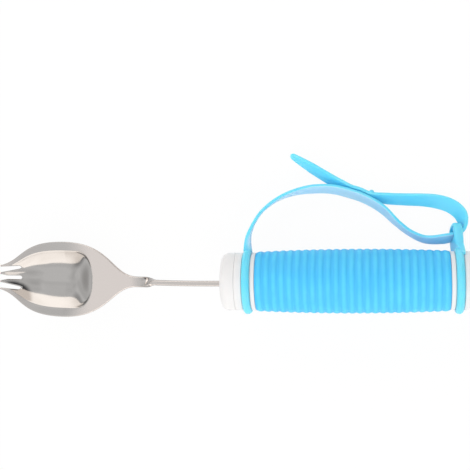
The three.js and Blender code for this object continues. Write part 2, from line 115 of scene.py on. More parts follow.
class SporkSteel(bpy.types.PropertyGroup):
    """The stamped steel: head, twist, shank and tang."""

    strip_thickness: length("Strip thickness", "Thickness of the shank's strip", 2.4)
    strip_width: length("Strip width", "Width of the shank's strip, which stands on edge", 4.7)
    rounding: FloatProperty(
        name="Edge rounding", description="Radius of the tumbled edges as a share of the sheet", default=0.3
    )
    shank_length: length("Shank length", "Free length of the strip in front of the handle", 29.3)
    shank_stub: length("Shank stub", "Stretch next to the handle that doesn't bend", 1)
    shank_offset: FloatProperty(
        name="Shank offset", description="Shank's place beside the axis", default=-0.85 * MM, unit="LENGTH"
    )
    twist_length: length("Twist length", "Stretch in which the strip turns flat", 10)
    neck_thickness: length("Neck thickness", "Thickness of the flat neck", 2)
    shoulder_length: length("Shoulder length", "Flat shoulder between neck and bowl", 18.5)
    bowl_length: length("Bowl length", "Bowl from its back edge to the tips of the tines", 43)
    bowl_width: length("Bowl width", "Widest part of the bowl", 33.5)
    bowl_depth: length("Bowl depth", "Depth of the bowl below its rim", 5.2)
    flange_drop: length("Flange drop", "Fall of the flange from the rim to the trough", 0.5)
    bowl_deepest: length("Deepest point", "Distance of the deepest point from the bowl's back edge", 13.5)
    sheet: length("Sheet", "Thickness of the bowl's sheet", 1.3)
    tip_width: length("Tip width", "Width over the tips of the tines", 10.6)
    tine_length: length("Tine length", "Depth of the slots between the tines", 9.2)
    tine_point: length("Tine point", "Width of a tine's point", 0.65)
    middle_slot: length("Middle slot", "Width of the middle slot", 1.6)
    side_slot: length("Side slot", "Width of a side slot at its root", 1.2)
    inner_tine: length("Inner tine", "Width of an inner tine at its root", 3.4)
    head_set: angle("Head set", "Sideways set of the head in the photograph's pose", 2.2)
    tang_length: length("Tang length", "Length of the tang inside the handle", 28)
    pin_setback: length("Pin setback", "Cross pin's place behind the handle's front face", 20)
    polished: colour("Polished steel", "Buffed stainless steel of the bowl", "#A4A2A0")
    satin: colour("Satin steel", "Brushed stainless steel of the shoulder and shank", "#CAC3BF")


class SporkHandle(bpy.types.PropertyGroup):
    """The white core of the handle and its two caps."""

    length: length("Handle length", "Handle from face to face", 114)
    core_radius: length("Core radius", "Radius of the caps and collars", 12.6)
    core_wall: length("Core wall", "Wall of the core under the sleeve", 2.2)
    cap_length: length("Cap length", "Visible length of a cap", 6.7)
    cap_flat: length("Cap flat", "Radius of the flat in the middle of a cap", 7)
    cap_dome: length("Cap dome", "Rise of a cap's face", 0.4)
    cap_edge: length("Cap edge", "Radius of a cap's rounded edge", 3.2)
    front_spigot: length("Front spigot", "Depth of the front cap's spigot", 32)
    rear_spigot: length("Rear spigot", "Depth of the rear cap's spigot", 14)
    plastic: colour("White plastic", "Moulded ABS of the caps and the core", "#E6E7E8")


class SporkGrip(bpy.types.PropertyGroup):
    """The blue ribbed sleeve."""

    end_radius: length("End radius", "Radius over the ribs at the ends", 13)
    crown: length("Crown", "Rise of the barrel in its middle", 1)
    seat_depth: length("Seat depth", "Depth of the sleeve's seat in the core", 1)
    rib_count: IntProperty(name="Ribs", description="Number of ribs", default=25, min=3)
    rib_height: length("Rib height", "Height of a rib over its valleys", 0.38)
    rubber: colour("Blue rubber", "Moulded thermoplastic rubber of the sleeve", "#59D8FF")


class SporkStrap(bpy.types.PropertyGroup):
    """The silicone strap with its ring and stud, and the keeper ring."""

    ring_setback: length("Ring setback", "Distance of a ring from the handle's end", 10.05)
    ring_width: length("Ring width", "Width of a ring", 3.5)
    ring_radius: length("Ring radius", "Outer radius of a ring", 14.2)
    ring_rounding: length("Ring rounding", "Radius of a ring's edges", 1.6)
    groove_depth: length("Groove depth", "Depth of a ring's groove in the core", 0.7)
    collar_width: length("Collar width", "White collar between a ring and the sleeve", 2.15)
    width: length("Strap width", "Width of the band", 6.4)
    thickness: length("Strap thickness", "Thickness of the band", 1.5)
    rounding: length("Strap rounding", "Radius of the band's edges", 0.5)
    taper: length("Taper", "Length of the tail's taper", 11)
    flare: length("Flare", "Length in which the band thickens into its ring", 9.6)
    stud_radius: length("Stud radius", "Radius of the stud", 1.1)
    stud_height: length("Stud height", "Height of the stud over the tail", 2.6)
    stud_setback: length("Stud setback", "Distance of the stud from the keeper", 38.5)
    tab_length: length("Tab length", "Length of the keeper's tab", 12)
    tab_thickness: length("Tab thickness", "Thickness of the keeper's tab", 4.1)
    tab_rounding: length("Tab rounding", "Radius of the tab's edges", 1.2)
    tab_wall: length("Tab wall", "Wall beside the keeper's slot", 1.7)
    slot_start: length("Slot start", "Distance of the slot from the keeper's ring", 4.4)
    slot_length: length("Slot length", "Length of the slot, away from the ring", 5.6)
    silicone: colour("Blue silicone", "Clear blue moulded silicone", "#60D9FF")


class SporkStudio(bpy.types.PropertyGroup):
    """Floor, light and camera."""

    floor_size: FloatProperty(name="Floor", description="Side of the floor", default=6.0, unit="LENGTH")
    floor: colour("Floor colour", "White paper", "#FAFAFA")
    ceiling: colour("Ceiling", "White room above the table", "#FFFFFF")
    horizon: colour("Horizon", "Room at table height", "#D0CFCE")
    corner: colour("Corners", "Dark corners of the room", "#4A4B50")
    lamp: colour("Softbox", "Warm white of the softboxes", "#FFF3E8")
    lamp_strength: FloatProperty(
        name="Softbox strength", description="Brightness of the softboxes", default=1.4, min=0.0
    )
    lens: FloatProperty(
        name="Lens", description="Focal length on a 36 mm sensor", default=79.35, subtype="DISTANCE_CAMERA"
    )


# Mesh helpers


def new_object(name, bm):
    """Put a mesh into the scene as an object with its faces turned outwards."""
    bmesh.ops.recalc_face_normals(bm, faces=bm.faces)
    mesh = bpy.data.meshes.new(name)
    bm.to_mesh(mesh)
    bm.free()
    piece = bpy.data.objects.new(name, mesh)
    bpy.context.collection.objects.link(piece)
    return piece


def combine(piece, other, operation):
    """Join another closed piece to this one or cut it away, and remove that other piece."""
    modifier = piece.modifiers.new(operation, "BOOLEAN")
    modifier.operation = operation
    modifier.solver = "MANIFOLD"
    modifier.object = other
    depsgraph = bpy.context.evaluated_depsgraph_get()
    result = bpy.data.meshes.new_from_object(piece.evaluated_get(depsgraph))
    if not result.polygons:
        raise RuntimeError(f"{piece.name}: nothing is left after {operation}")
    piece.modifiers.clear()
    piece.data = result
    bpy.data.objects.remove(other)


def finish_piece(piece, material, nodes, body=None, sharp=35):
    """Shade a piece, give it its material, hang it on the body that carries it, and hide the CAD nodes it
    stands for.
    """
    piece.data.materials.clear()
    piece.data.materials.append(material)
    piece.data.shade_smooth()
    piece.data.set_sharp_from_angle(angle=radians(sharp))
    if body:
        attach(piece, body)
    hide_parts(*nodes)


def rounded(corners, steps=5):
    """Outline through corners (a, b, radius), each rounded by an arc of its radius."""
    outline = []
    for i, (a, b, radius) in enumerate(corners):
        corner = Vector((a, b))
        if radius == 0:
            outline.append(corner)
            continue
        back = (Vector(corners[i - 1][:2]) - corner).normalized()
        ahead = (Vector(corners[(i + 1) % len(corners)][:2]) - corner).normalized()
        half = back.angle(ahead) / 2
        centre = corner + (back + ahead).normalized() * radius / sin(half)
        start = corner + back * radius / tan(half) - centre
        end = corner + ahead * radius / tan(half) - centre
        for k in range(steps + 1):
            outline.append(centre + start.lerp(end, k / steps).normalized() * radius)
    return outline


def turned(bm, profile, sides=160):
    """Turn a closed profile of (x, radius) points round the X axis."""
    verts = [bm.verts.new((x, 0, radius)) for x, radius in profile]
    edges = [bm.edges.new((verts[i - 1], verts[i])) for i in range(len(verts))]
    bmesh.ops.spin(bm, geom=verts + edges, axis=(1, 0, 0), angle=2 * pi, steps=sides, use_merge=True)
    bmesh.ops.remove_doubles(bm, verts=bm.verts, dist=1e-7)
    return bm


def skin(bm, loops):
    """Skin through section loops, closed at both ends."""
    rows = [[bm.verts.new(point) for point in loop] for loop in loops]
    for low, high in zip(rows, rows[1:]):
        for j in range(len(low)):
            bm.faces.new((low[j - 1], low[j], high[j], high[j - 1]))
    bm.faces.new(rows[0])
    bm.faces.new(rows[-1])
    return bm


def steps_between(start, end, count):
    """Even steps from start up to, but not including, end."""
    return [start + (end - start) * i / count for i in range(count)]


def smooth(share):
    """Ease from 0 to 1."""
    share = min(1.0, max(0.0, share))
    return share * share * (3 - 2 * share)


def above_zero(value, bend):
    """The value itself or zero, whichever is more, with a bend between them."""
    return (value + sqrt(value * value + bend * bend)) / 2


# Materials


def add_node(tree, kind, inputs=None, out=None, **settings):
    """Add a shader node, set its fields, set or link its inputs, and give the named output or the node."""
    node = tree.nodes.new("ShaderNode" + kind)
    for name, value in settings.items():
        setattr(node, name, value)
    for name, value in (inputs or {}).items():
        if isinstance(value, bpy.types.NodeSocket):
            tree.links.new(value, node.inputs[name])
        else:
            node.inputs[name].default_value = value
    return node.outputs[out] if out else node


def new_material(name):
    """A material and its empty node tree."""
    material = bpy.data.materials.new(name)
    material.use_nodes = True
    material.node_tree.nodes.clear()
    return material, material.node_tree


def opaque(rgb):
    """A colour with full alpha."""
    return (*rgb, 1.0)


# Brush lines of about 0.1 mm are too fine to show, so they are drawn 0.5 mm apart.
BRUSH_GAP = 0.5 * MM
BRUSH_RUN = 18 * MM
BUFF_WAVE = 8 * MM
# Size of the clouds of tone in moulded pieces
CLOUD = 9 * MM


def steel_material(name, satin, polished):
    """Stainless steel with brush lines along the spork, mirror-like where the wheel has buffed it."""
    material, tree = new_material(name)
    place = add_node(tree, "TexCoord", out="Object")
    buffed = add_node(tree, "Attribute", out="Fac", attribute_name="buffed")
    finer = (1 / BRUSH_RUN, 1 / BRUSH_GAP, 1 / BRUSH_GAP)
    grain = add_node(tree, "Mapping", {"Vector": place, "Scale": finer}, "Vector")
    lines = add_node(tree, "TexNoise", {"Vector": grain, "Scale": 1.0, "Detail": 3.0}, "Fac")
    spans = {"From Min": 0.3, "From Max": 0.7, "To Min": 0.28, "To Max": 0.31}
    brushed = add_node(tree, "MapRange", {"Value": lines, **spans}, "Result")
    rough = add_node(tree, "MapRange", {"Value": buffed, "To Min": brushed, "To Max": 0.1}, "Result")
    tones = {"Factor": buffed, "A": opaque(satin), "B": opaque(polished)}
    tint = add_node(tree, "Mix", tones, "Result", data_type="RGBA")
    waves = add_node(tree, "TexNoise", {"Vector": place, "Scale": 1 / BUFF_WAVE, "Detail": 0.0}, "Fac")
    rolling = add_node(tree, "Bump", {"Height": waves, "Strength": 1.0, "Distance": 0.05 * MM}, "Normal")
    relief = {"Height": lines, "Strength": 0.04, "Distance": 0.02 * MM}
    bump = add_node(tree, "Bump", {"Normal": rolling, **relief}, "Normal")
    surface = {"Base Color": tint, "Metallic": 1.0, "Roughness": rough, "Normal": bump}
    shader = add_node(tree, "BsdfPrincipled", surface, "BSDF")
    add_node(tree, "OutputMaterial", {"Surface": shader})
    return material


def moulded_material(name, rgb, deep, roughness, grit, relief, ior, subsurface, glow, painted_shading_mask=None, mottle=1.0):
    """Moulded plastic or rubber: a fine sparked grain, clouds of tone, some light through the skin, and where
    a mask is given a second colour painted in as painted shade or painted light.
    """
    material, tree = new_material(name)
    place = add_node(tree, "TexCoord", out="Object")
    grain = add_node(tree, "TexNoise", {"Vector": place, "Scale": 1 / grit, "Detail": 2.0}, "Fac")
    tone = add_node(tree, "TexNoise", {"Vector": place, "Scale": 1 / CLOUD, "Detail": 2.0}, "Fac")
    # The mask's share paints the second colour in: painted shade in the sleeve's valleys, painted light on
    # the strap's inner face.
    if painted_shading_mask:
        painted_shading = add_node(tree, "Attribute", out="Fac", attribute_name=painted_shading_mask)
        cloud = add_node(tree, "Math", {0: tone, 1: mottle}, "Value", operation="MULTIPLY")
        tone = add_node(tree, "Math", {0: painted_shading, 1: 0.85, 2: cloud}, "Value", operation="MULTIPLY_ADD")
    tones = {"Factor": tone, "A": opaque(rgb), "B": opaque(deep)}
    surface = {
        "Base Color": add_node(tree, "Mix", tones, "Result", data_type="RGBA"),
        "IOR": ior,
        "Subsurface Weight": subsurface,
        "Subsurface Radius": glow,
        "Subsurface Scale": 1.0,
    }
    spans = {"To Min": roughness - 0.08, "To Max": roughness + 0.08}
    surface["Roughness"] = add_node(tree, "MapRange", {"Value": grain, **spans}, "Result")
    bumps = {"Height": grain, "Strength": relief, "Distance": 0.05 * MM}
    surface["Normal"] = add_node(tree, "Bump", bumps, "Normal")
    shader = add_node(tree, "BsdfPrincipled", surface, "BSDF")
    add_node(tree, "OutputMaterial", {"Surface": shader})
    return material


# Stamped steel. Reach is the distance in front of the handle's front face, side the distance from the axis.

# Width of the trough as a share of the bowl's, and the share of the bowl's front at which the floor rises
TROUGH_SHARE = 0.79
CLIMB_START = 0.35
# Half the side of the square hole round the cross pin
PIN_HOLE = 1.6 * MM
# Steps of each rounded edge of the sheet
RIM_STEPS = 4


class SteelShape:
    """The stamped steel as one sheet: its outline, its hollow, its twist and its bend."""

    def __init__(self, steel, handle):
        self.steel = steel
        self.front_face = -handle.length
        self.twist = steel.shank_length
        self.neck = self.twist + steel.twist_length
        self.flat = self.neck - 0.15 * steel.twist_length
        self.bowl = self.neck + steel.shoulder_length
        self.deep = self.bowl + steel.bowl_deepest
        self.tip = self.bowl + steel.bowl_length
        self.root = self.tip - steel.tine_length
        self.leaf = self.tip - self.deep
        strip = steel.strip_width / 2
        widest = steel.bowl_width / 2
        tips = steel.tip_width / 2
        shoulder = [
            (self.flat, strip),
            (self.neck + 0.56 * steel.shoulder_length, strip),
            (self.deep - 1.57 * steel.bowl_deepest, widest),
            (self.deep, widest),
        ]
        front = [
            (self.deep, widest),
            (self.deep + 0.68 * self.leaf, widest),
            (self.tip - 0.38 * self.leaf, tips + 0.10 * self.leaf),
            (self.tip, tips),
        ]
        curves = [interpolate_bezier(*map(Vector, curve), 200) for curve in (shoulder, front)]
        self.outline = curves[0] + curves[1][1:]
        self.reaches = [point.x for point in self.outline]

    def half_width(self, reach):
        """Half the width of the sheet."""
        if reach <= self.flat:
            return self.steel.strip_width / 2
        i = min(max(1, bisect_left(self.reaches, reach)), len(self.reaches) - 1)
        low, high = self.outline[i - 1], self.outline[i]
        return low.y + (high.y - low.y) * (reach - low.x) / (high.x - low.x)

    def back(self, reach):
        """Share of the way from the deepest point to the bowl's back edge."""
        return max(0.0, (self.deep - reach) / self.steel.bowl_deepest)

    def climb(self, reach):
        """Share of the way up the front of the bowl to the tips."""
        return max(0.0, ((reach - self.deep) / self.leaf - CLIMB_START) / (1 - CLIMB_START))

    def trough(self, reach, side):
        """Share of the trough's depth across the bowl: soft edges and steep walls at the back corners."""
        back = self.back(reach)
        half = TROUGH_SHARE * (self.steel.bowl_width / 2 if back else self.half_width(reach))
        edge = half * sqrt(max(0.01, 1 - back**4))
        floor = 1 - (side / half) ** 2
        wall = 3 * (1 - (side / edge) ** 2)
        return above_zero((floor + wall - sqrt((floor - wall) ** 2 + 0.01)) / 2, 0.06)

    def drop(self, reach, side):
        """Depth below the rim: a flange round the trough, which rises to the tips and to the shoulder."""
        steel = self.steel
        back = self.back(reach)
        rim = self.half_width(reach)
        inward = (rim - abs(side)) / ((1 - TROUGH_SHARE) * rim)
        flange = steel.flange_drop * max(0.0, 1 - back) * min(1.0, inward)
        soft = 1.1 + 0.9 * max(0.0, 1 - (side / (0.35 * steel.bowl_width)) ** 2)
        rise = max(0.0, 1 - back**3) ** soft - self.climb(reach) ** 1.6
        return rise * (flange + (steel.bowl_depth - steel.flange_drop) * self.trough(reach, side))

    def buffed(self, reach, side):
        """Share of the wheel's polish: full in the trough, less on the flange and the shank."""
        if self.back(reach) >= 1:
            strip = 0.45 + 0.3 * smooth((reach - self.twist) / (3 * MM))
            return strip * (1 - smooth((reach - self.neck) / (5 * MM) + 0.6))
        flange = 0.9 * (1 - smooth(self.back(reach))) * (1 - 0.5 * self.climb(reach))
        return flange + (1 - flange) * smooth(self.trough(reach, side) / 0.08 - 0.3)

    def thickness(self, reach):
        """Thickness of the sheet."""
        steel = self.steel
        if reach <= self.flat:
            share = min(1.0, max(0.0, (reach - self.twist) / (self.flat - self.twist)))
            return steel.strip_thickness + (steel.neck_thickness - steel.strip_thickness) * share
        share = min(1.0, (reach - self.flat) / (self.deep - self.flat))
        return steel.neck_thickness + (steel.sheet - steel.neck_thickness) * share

    def rounding(self, reach):
        """Radius of the sheet's rounded edges."""
        return self.steel.rounding * self.thickness(reach)

    def point(self, reach, side, upper):
        """Point of the upper or the lower face, bent and twisted into place."""
        steel = self.steel
        thick = self.thickness(reach)
        if reach <= self.flat:
            ahead = min(1.0, (self.flat - reach) / (self.flat - self.twist))
            turn = -pi / 2 * (1 - smooth(1 - ahead**1.5))
            height = thick / 2 if upper else -thick / 2
        else:
            turn = 0.0
            widen = self.half_width(reach) / (self.half_width(reach) - self.rounding(reach))
            height = steel.neck_thickness / 2 - self.drop(reach, side * widen)
            if not upper:
                height -= thick
        across = side * cos(turn) - height * sin(turn)
        rise = side * sin(turn) + height * cos(turn)
        return self.bent(reach, across, rise)

    def bent(self, reach, across, rise):
        """A point beside the strip's middle line, which bends between the stub and the twist."""
        steel = self.steel
        free = steel.shank_length - steel.shank_stub
        share = min(1.0, max(0.0, (reach - steel.shank_stub) / free))
        turn = steel.head_set * share
        radius = free / steel.head_set
        straight = reach - free * share
        x = self.front_face - radius * sin(turn) - straight * (cos(turn) if share == 1 else 1)
        y = steel.shank_offset + radius * (1 - cos(turn)) + (straight * sin(turn) if share == 1 else 0)
        return Vector((x + across * sin(turn), y + across * cos(turn), rise))

    def lane_edges(self, reach):
        """Sides that bound the middle slot, the inner tine, the side slot and the outer tine."""
        steel = self.steel
        edge = self.rounding(reach)
        middle = steel.middle_slot / 2
        inner = middle + steel.inner_tine
        outer = inner + steel.side_slot
        rim = self.half_width(reach) - edge
        if reach <= self.root:
            share = rim / (self.half_width(self.root) - self.rounding(self.root))
            return [0.0, *(side * share for side in (middle + edge, inner - edge, outer + edge)), rim]
        share = (reach - self.root) / steel.tine_length
        point_in = middle + 0.2 * steel.inner_tine
        flare = max(0.0, 3 * share - 2)
        middle += (point_in - middle) * flare
        inner += (point_in + steel.tine_point - inner) * share
        outer += (steel.tip_width / 2 - steel.tine_point - outer) * share
        inner = max(inner - edge, middle + 1.1 * edge)
        return [0.0, middle + edge, inner, outer + edge, max(rim, outer + 1.1 * edge)]

    def rows(self):
        """Reaches of the rows of the sheet, up to the roots of the slots and on along the tines."""
        steel = self.steel
        root = self.root + steel.middle_slot / 2
        before = root - 1.7 * MM
        body = steps_between(-steel.tang_length, steel.shank_stub, 24)
        body += steps_between(steel.shank_stub, self.twist, 44)
        body += steps_between(self.twist, self.flat, 26)
        body += steps_between(self.flat, self.bowl - 1 * MM, 36)
        body += steps_between(self.bowl - 1 * MM, self.bowl + 3 * MM, 20)
        body += steps_between(self.bowl + 3 * MM, self.deep, 28)
        body += steps_between(self.deep, before, 36)
        body += [before, root]
        end = self.tip - self.rounding(self.tip)
        tines = steps_between(root, end, 18)[1:] + [end]
        return body, tines


# Columns in the middle slot's lane, the inner tine's, the side slot's and the outer tine's
LANE_STEPS = (3, 10, 6, 16)


def steel_columns():
    """Columns across the sheet as (sign, lane, share of the lane), from the lower side to the upper side."""
    half = [(lane, (k + 1) / steps) for lane, steps in enumerate(LANE_STEPS) for k in range(steps)]
    return [(-1, *column) for column in reversed(half)] + [(1, 0, 0.0)] + [(1, *column) for column in half]


def steel_places(shape, reach, columns, at_root):
    """Place (reach, side) of each column in one row; slot lanes curve back at the root of the tines."""
    edges = shape.lane_edges(reach)
    places = []
    for sign, lane, share in columns:
        side = edges[lane] + (edges[lane + 1] - edges[lane]) * share
        back = 0.0
        if at_root and lane == 0:
            back = edges[1] * sqrt(max(0.0, 1 - share * share))
        if at_root and lane == 2:
            back = (edges[3] - edges[2]) / 2 * sqrt(max(0.0, 1 - (2 * share - 1) ** 2))
        places.append((reach - back, sign * side))
    return places


def steel_mesh(shape):
    """Upper face, lower face and rounded rim of the whole stamping."""
    steel = shape.steel
    columns = steel_columns()
    body, tines = shape.rows()
    reaches = body + tines
    bm = bmesh.new()
    lower = {}

    def row_of_verts(i):
        verts = []
        for j, (reach, side) in enumerate(steel_places(shape, reaches[i], columns, i == len(body) - 1)):
            if i >= len(body) and not on_tine(j):
                verts.append(None)
                continue
            vert = bm.verts.new(shape.point(reach, side, True))
            lower[vert] = shape.point(reach, side, False)
            verts.append(vert)
        return verts

    def on_tine(j):
        return lane_of(j) in (1, 3) or lane_of(j + 1) in (1, 3)

    def lane_of(j):
        """Lane between column j - 1 and column j."""
        if j < 1 or j >= len(columns):
            return None
        return max(columns[j - 1][1:], columns[j][1:])[0]

    def over_pin(i, j):
        reach = (reaches[i] + reaches[i - 1]) / 2 + steel.pin_setback
        side = (grid_side(i, j) + grid_side(i, j - 1)) / 2
        return abs(reach) < PIN_HOLE and abs(side) < PIN_HOLE

    def grid_side(i, j):
        return steel_places(shape, reaches[i], columns, False)[j][1]

    rows = [row_of_verts(i) for i in range(len(reaches))]
    for i in range(1, len(rows)):
        for j in range(1, len(columns)):
            slot = i >= len(body) and lane_of(j) in (0, 2)
            hole = reaches[i] < 0 and over_pin(i, j)
            if not slot and not hole:
                bm.faces.new((rows[i - 1][j - 1], rows[i - 1][j], rows[i][j], rows[i][j - 1]))
    bmesh.ops.delete(bm, geom=[vert for vert in bm.verts if not vert.link_faces], context="VERTS")
    close_sheet(bm, lower, steel.rounding)
    return bm


def close_sheet(bm, lower, share):
    """Add a lower face and a rim along every open edge, rounded by a share of the sheet's thickness."""
    upper_faces = list(bm.faces)
    follow = {}
    for edge in bm.edges:
        if edge.is_boundary:
            loop = edge.link_loops[0]
            follow[loop.vert] = loop.link_loop_next.vert
    before = {after: vert for vert, after in follow.items()}
    upper_verts = list(bm.verts)
    under = {vert: bm.verts.new(lower[vert]) for vert in upper_verts}
    for face in upper_faces:
        bm.faces.new([under[vert] for vert in reversed(face.verts)])
    rims = {}
    for vert in follow:
        down = (under[vert].co - vert.co).normalized()
        along = follow[vert].co - before[vert].co
        radius = share * (under[vert].co - vert.co).length
        out = down.cross(along).normalized() * radius
        turns = [pi / 2 * (k + 1) / RIM_STEPS for k in range(RIM_STEPS)]
        rim = [vert]
        for turn in turns:
            rim.append(bm.verts.new(vert.co + out * sin(turn) + down * radius * (1 - cos(turn))))
        for turn in reversed(turns):
            rim.append(bm.verts.new(under[vert].co + out * sin(turn) - down * radius * (1 - cos(turn))))
        rims[vert] = rim + [under[vert]]
    for vert, after in follow.items():
        for a, b, c, d in zip(rims[vert], rims[vert][1:], rims[after][1:], rims[after]):
            bm.faces.new((a, b, c, d))


class SPORK_OT_steel(bpy.types.Operator):
    """Build the stamped steel spork"""

    bl_idname = "spork.steel"
    bl_label = "Steel spork"

    def execute(self, context):
        steel = context.scene.spork_steel
        shape = SteelShape(steel, context.scene.spork_handle)
        piece = new_object("steel_spork", steel_mesh(shape))
        polish = piece.data.attributes.new("buffed", "FLOAT", "POINT")
        for vert, share in zip(piece.data.vertices, polish.data):
            reach = shape.front_face - vert.co.x
            side = vert.co.y - shape.bent(reach, 0.0, 0.0).y
            share.value = shape.buffed(reach, side)
        # Stainless steel, stamped, drawn over a fine belt and buffed in the bowl: soft streaks along the
        # shoulder and the shank, clear reflections in the bowl.
        stainless = steel_material("brushed_and_buffed_stainless_steel", steel.satin, steel.polished)
        finish_piece(piece, stainless, ["spork_head", "shank_bend", "shank_tang"], sharp=60)
        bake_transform(piece)
        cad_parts["tang_pin"].material_slots[0].material = stainless
        return {"FINISHED"}


# White core and caps


def cap_corners(handle):
    """Corners of a cap's skin as (distance from its face, radius, rounding)."""
    slope = handle.cap_dome / (handle.core_radius - handle.cap_edge - handle.cap_flat)
    brow = slope * (handle.core_radius - handle.cap_flat)
    return [
        (0.0, 0.0, 0.0),
        (0.0, handle.cap_flat, 4 * MM),
        (brow, handle.core_radius, handle.cap_edge),
        (handle.cap_length - SEAM / 2, handle.core_radius, 0.12 * MM),
    ]


def front_cap_profile(handle, spigot):
    """Front cap with a solid spigot that holds the tang."""
    corners = cap_corners(handle) + [
        (handle.cap_length - SEAM / 2, spigot, 0.2 * MM),
        (handle.front_spigot, spigot, 0.5 * MM),
        (handle.front_spigot, 0.0, 0.0),
    ]
    return [(-handle.length + x, radius) for x, radius in rounded(corners)]


def rear_cap_profile(handle, spigot):
    """Rear cap with a hollow spigot."""
    hollow = spigot - 2 * MM
    floor = handle.cap_length / 2
    corners = cap_corners(handle) + [
        (handle.cap_length - SEAM / 2, spigot, 0.2 * MM),
        (handle.rear_spigot, spigot, 0.4 * MM),
        (handle.rear_spigot, hollow, 0.4 * MM),
        (floor, hollow, 0.6 * MM),
        (floor, 0.0, 0.0),
    ]
    return [(-x, radius) for x, radius in rounded(corners)]


def core_profile(handle, strap, seat, bore):
    """Core with a ring's groove and a collar at each end, and the sleeve's seat between them."""
    groove = handle.core_radius - strap.groove_depth
    ring = strap.ring_setback + strap.ring_width / 2
    half = strap.ring_width / 2 + SLIP
    collar = strap.ring_setback + strap.ring_width + strap.collar_width - SLIP
    corners = [
        (handle.cap_length + SEAM / 2, bore, 0.2 * MM),
        (handle.cap_length + SEAM / 2, handle.core_radius, 0.12 * MM),
        (ring - half, handle.core_radius, 0.2 * MM),
        (ring - half, groove, 0.1 * MM),
        (ring + half, groove, 0.1 * MM),
        (ring + half, handle.core_radius, 0.2 * MM),
        (collar, handle.core_radius, 0.3 * MM),
        (collar, seat, 0.1 * MM),
    ]
    mirrored = [(handle.length - x, radius, rounding) for x, radius, rounding in reversed(corners)]
    return [(-handle.length + x, radius) for x, radius in rounded(corners + mirrored, 3)]


class SPORK_OT_handle(bpy.types.Operator):
    """Build the white core and its two caps"""

    bl_idname = "spork.handle"
    bl_label = "Core and caps"

    def execute(self, context):
        handle = context.scene.spork_handle
        seat = handle.core_radius - context.scene.spork_grip.seat_depth
        bore = seat - handle.core_wall
        spigot = bore - SLIP
        # ABS, injection moulded in a spark-eroded tool: a matte white skin with a soft broad sheen.
        plastic = moulded_material(
            "moulded_white_abs", handle.plastic, linear("#E1E2E4"), 0.42, 0.45 * MM, 0.12, 1.53, 0.08,
            (1.2 * MM, 1.1 * MM, 1.0 * MM),
        )
        front_cap = new_object("front_cap_shell", turned(bmesh.new(), front_cap_profile(handle, spigot)))
        slot = new_object("slot_cutter", tang_slot(context.scene.spork_steel, handle))
        combine(front_cap, slot, "DIFFERENCE")
        finish_piece(front_cap, plastic, ["front_cap"], "handle")
        rear_cap = new_object("rear_cap_shell", turned(bmesh.new(), rear_cap_profile(handle, spigot)))
        finish_piece(rear_cap, plastic, ["rear_cap"], "handle")
        core = core_profile(handle, context.scene.spork_strap, seat, bore)
        core_body = new_object("core_body", turned(bmesh.new(), core))
        finish_piece(core_body, plastic, ["core_tube"], "handle")
        return {"FINISHED"}


def tang_slot(steel, handle):
    """Block that cuts the tang's slot into the front cap."""
    depth = steel.tang_length + SLIP + 1 * MM
    across = steel.strip_thickness / 2 + SLIP
    rise = steel.strip_width / 2 + SLIP
    corners = [(across, -rise), (across, rise), (-across, rise), (-across, -rise)]
    outline = rounded([(y, z, 0.3 * MM) for y, z in corners], 3)
    ends = (-handle.length - 1 * MM, -handle.length - 1 * MM + depth)
    return skin(bmesh.new(), [[(x, steel.shank_offset + y, z) for y, z in outline] for x in ends])


# Ribbed sleeve


def valley(ribs):
    """Share of the depth of the valleys, at a place counted in ribs from the sleeve's end."""
    return abs(cos(pi * ribs)) ** 3


class SPORK_OT_grip(bpy.types.Operator):
    """Build the ribbed sleeve"""

    bl_idname = "spork.grip"
    bl_label = "Ribbed grip"

    def execute(self, context):
        grip = context.scene.spork_grip
        handle = context.scene.spork_handle
        strap = context.scene.spork_strap
        start = -handle.length + strap.ring_setback + strap.ring_width + strap.collar_width
        span = -handle.length - 2 * start
        middle = -handle.length / 2
        bore = handle.core_radius - grip.seat_depth + SLIP
        points = 12
        outer = []
        for i in range(grip.rib_count * points + 1):
            share = i / (grip.rib_count * points)
            barrel = grip.end_radius + grip.crown * (1 - (2 * share - 1) ** 2)
            outer.append((start + span * share, barrel - grip.rib_height * valley(i / points)))
        end = outer[-1][0]
        profile = outer + [(end, bore), (middle, bore), (start, bore)]
        sleeve = new_object("ribbed_grip", turned(bmesh.new(), profile, 192))
        # Share of painted shade: full in the valleys between the ribs, none on their crests.
        valley_painted_shades = sleeve.data.attributes.new("valley_painted_shade", "FLOAT", "POINT")
        for vert, valley_painted_shade in zip(sleeve.data.vertices, valley_painted_shades.data):
            valley_painted_shade.value = valley((vert.co.x - start) / span * grip.rib_count)
        # Thermoplastic rubber, moulded with ribs: a matte blue with a faint bloom of light in the skin, and a
        # deeper blue painted into the valleys between the ribs as painted shade.
        rubber = moulded_material(
            "moulded_blue_rubber", grip.rubber, linear("#42BEF8"), 0.55, 0.5 * MM, 0.15, 1.5, 0.15,
            (0.4 * MM, 0.9 * MM, 1.2 * MM), painted_shading_mask="valley_painted_shade",
        )
        finish_piece(sleeve, rubber, ["grip_sleeve"], "handle", sharp=60)
        return {"FINISHED"}


# Strap and keeper

